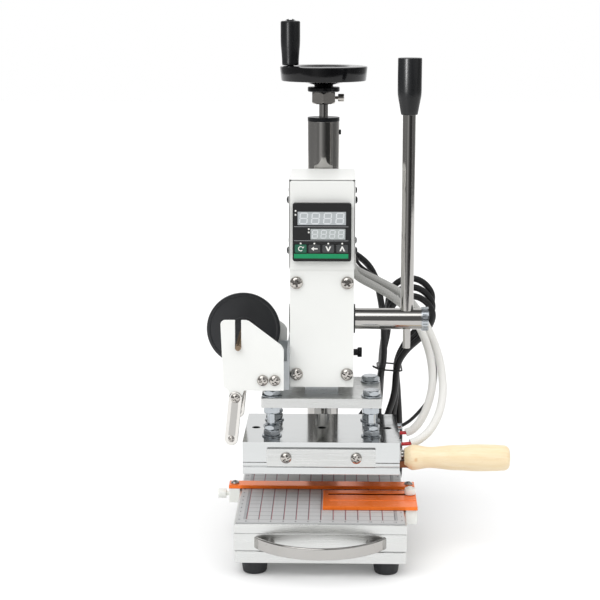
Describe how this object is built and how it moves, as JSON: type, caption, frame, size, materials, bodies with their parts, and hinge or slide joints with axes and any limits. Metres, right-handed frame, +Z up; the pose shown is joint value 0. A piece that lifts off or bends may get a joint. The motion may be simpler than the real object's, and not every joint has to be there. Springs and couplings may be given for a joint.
{
  "type": "hot foil stamping machine",
  "caption": "Bench lever press with a heated die block on a ram, a sliding ruled table with stop bars, a height screw with a handwheel, a temperature controller and a foil holder.",
  "frame": {"origin": "on the bench, midway between the four feet", "axes": "+X to the operator's right, along the drawer handle; +Y away from the operator, towards the column; +Z up, along the column"},
  "size_m": [0.2575, 0.27, 0.4419],
  "materials": {
    "white_paint": "powder coat",
    "aluminium": "milled",
    "polished_block": "polished",
    "chrome": "polished",
    "steel": "zinc plated",
    "spring_steel": "oiled",
    "grid_mat": "ruled mat",
    "orange": "anodised",
    "white_nylon": "moulded",
    "black_plastic": "moulded",
    "controller_case": "fine grain",
    "green_button": "moulded",
    "grey_button": "moulded",
    "bronze": "turned",
    "brown_tongue": "heat stained",
    "rubber": "moulded",
    "cord": "extruded",
    "sleeve": "glass-fibre braid",
    "wood": "turned and sanded"
  },
  "bodies": {
    "frame": {"base_plate": "aluminium", "rubber_feet": "rubber", "guide_rails": "steel", "column": "chrome", "column_cap": "steel", "cord_hank": "cord", "cord_tie": "cord", "power_plug": "cord"},
    "table": {"carriage": "aluminium", "table_plate": "aluminium", "grid_mat": "grid_mat", "pull_handle": "chrome"},
    "long_stop": {"long_stop_bar": "orange", "long_stop_brackets": "white_nylon"},
    "long_stop_clamp": {"long_stop_knob": "white_nylon"},
    "short_stop_slider": {"short_stop_bracket": "white_nylon"},
    "short_stop": {"short_stop_plate": "orange"},
    "short_stop_clamp": {"short_stop_knob": "white_nylon"},
    "head": {"head_casting": "white_paint", "bushings": "steel", "front_cover": "white_paint", "head_screws": "steel", "controller_box": "white_paint", "box_rear_panel": "white_paint", "temp_controller": "controller_case", "lead_nut": "bronze", "cable_grommets": "rubber", "foil_bracket": "steel", "foil_plates": "white_paint", "foil_guide": "chrome", "power_cord": "cord", "heater_leads": "sleeve", "sensor_lead": "cord"},
    "set_key": {"button_set": "green_button"},
    "shift_key": {"button_shift": "grey_button"},
    "down_key": {"button_down": "grey_button"},
    "up_key": {"button_up": "grey_button"},
    "column_lock": {"column_lock_screw": "black_plastic"},
    "wheel": {"handwheel": "black_plastic", "hex_collar": "steel", "lead_screw": "steel", "crank_pin": "steel"},
    "crank": {"crank_grip": "black_plastic"},
    "lever": {"pinion_shaft": "chrome", "shaft_end_cap": "steel", "lever_rod": "chrome", "lever_grip": "black_plastic"},
    "press": {"ram": "steel", "return_spring": "spring_steel", "press_plate": "aluminium", "hanger_bolts": "steel", "heat_block": "polished_block", "heater_cartridges": "steel", "front_strip": "aluminium", "drawer_rails": "aluminium"},
    "drawer": {"die_plate": "aluminium", "drawer_tongue": "brown_tongue", "wood_handle": "wood"},
    "foil_spool": {"foil_axle": "bronze", "foil_disc": "black_plastic"}
  },
  "joints": [
    {"name": "table_slide", "type": "slide", "parent": "frame", "child": "table", "axis": [0, -1, 0], "range_m": [0, 0.09]},
    {"name": "long_stop_slide", "type": "slide", "parent": "table", "child": "long_stop", "axis": [0, 1, 0], "range_m": [0, 0.04]},
    {"name": "long_stop_knob_turn", "type": "hinge", "parent": "long_stop", "child": "long_stop_clamp", "pos_m": [-0.0855, -0.0035, 0.03985], "axis": [1, 0, 0], "range_deg": [0, 270]},
    {"name": "short_stop_slider_slide", "type": "slide", "parent": "table", "child": "short_stop_slider", "axis": [0, -1, 0], "range_m": [0, 0.03]},
    {"name": "short_stop_slide", "type": "slide", "parent": "short_stop_slider", "child": "short_stop", "axis": [1, 0, 0], "range_m": [0, 0.06]},
    {"name": "short_stop_knob_turn", "type": "hinge", "parent": "short_stop_slider", "child": "short_stop_clamp", "pos_m": [0.0745, -0.0323, 0.052], "axis": [0, 0, 1], "range_deg": [0, 270]},
    {"name": "head_lift", "type": "slide", "parent": "frame", "child": "head", "axis": [0, 0, 1], "range_m": [0, 0.03], "deforming": ["power_cord"]},
    {"name": "handwheel_turn", "type": "hinge", "parent": "frame", "child": "wheel", "pos_m": [0, 0.078, 0.39], "axis": [0, 0, 1], "range_deg": [0, 1800]},
    {"name": "crank_grip_spin", "type": "hinge", "parent": "wheel", "child": "crank", "pos_m": [-0.029, 0.078, 0.42], "axis": [0, 0, 1], "continuous": true},
    {"name": "ram_stroke", "type": "slide", "parent": "head", "child": "press", "axis": [0, 0, -1], "range_m": [0, 0.0118], "stiffness_N_per_m": 900, "springref_m": -0.06, "deforming": ["return_spring", "heater_leads", "sensor_lead"]},
    {"name": "lever_pull", "type": "hinge", "parent": "head", "child": "lever", "pos_m": [0.03, 0.0125, 0.1908], "axis": [1, 0, 0], "range_deg": [0, 85]},
    {"name": "set_press", "type": "slide", "parent": "head", "child": "set_key", "axis": [0, 1, 0], "range_m": [0, 0.0008], "stiffness_N_per_m": 400},
    {"name": "shift_press", "type": "slide", "parent": "head", "child": "shift_key", "axis": [0, 1, 0], "range_m": [0, 0.0008], "stiffness_N_per_m": 400},
    {"name": "down_press", "type": "slide", "parent": "head", "child": "down_key", "axis": [0, 1, 0], "range_m": [0, 0.0008], "stiffness_N_per_m": 400},
    {"name": "up_press", "type": "slide", "parent": "head", "child": "up_key", "axis": [0, 1, 0], "range_m": [0, 0.0008], "stiffness_N_per_m": 400},
    {"name": "column_lock_turn", "type": "hinge", "parent": "head", "child": "column_lock", "pos_m": [0.03, 0.078, 0.1468], "axis": [1, 0, 0], "range_deg": [0, 270]},
    {"name": "drawer_slide", "type": "slide", "parent": "press", "child": "drawer", "axis": [1, 0, 0], "range_m": [0, 0.11]},
    {"name": "foil_spool_spin", "type": "hinge", "parent": "head", "child": "foil_spool", "pos_m": [-0.0685, 0, 0.1773], "axis": [0, 1, 0], "continuous": true}
  ],
  "couplings": [
    {"joint": "handwheel_turn", "follows": "head_lift", "rad_per_m": 1047.2},
    {"joint": "lever_pull", "follows": "ram_stroke", "rad_per_m": 125}
  ]
}
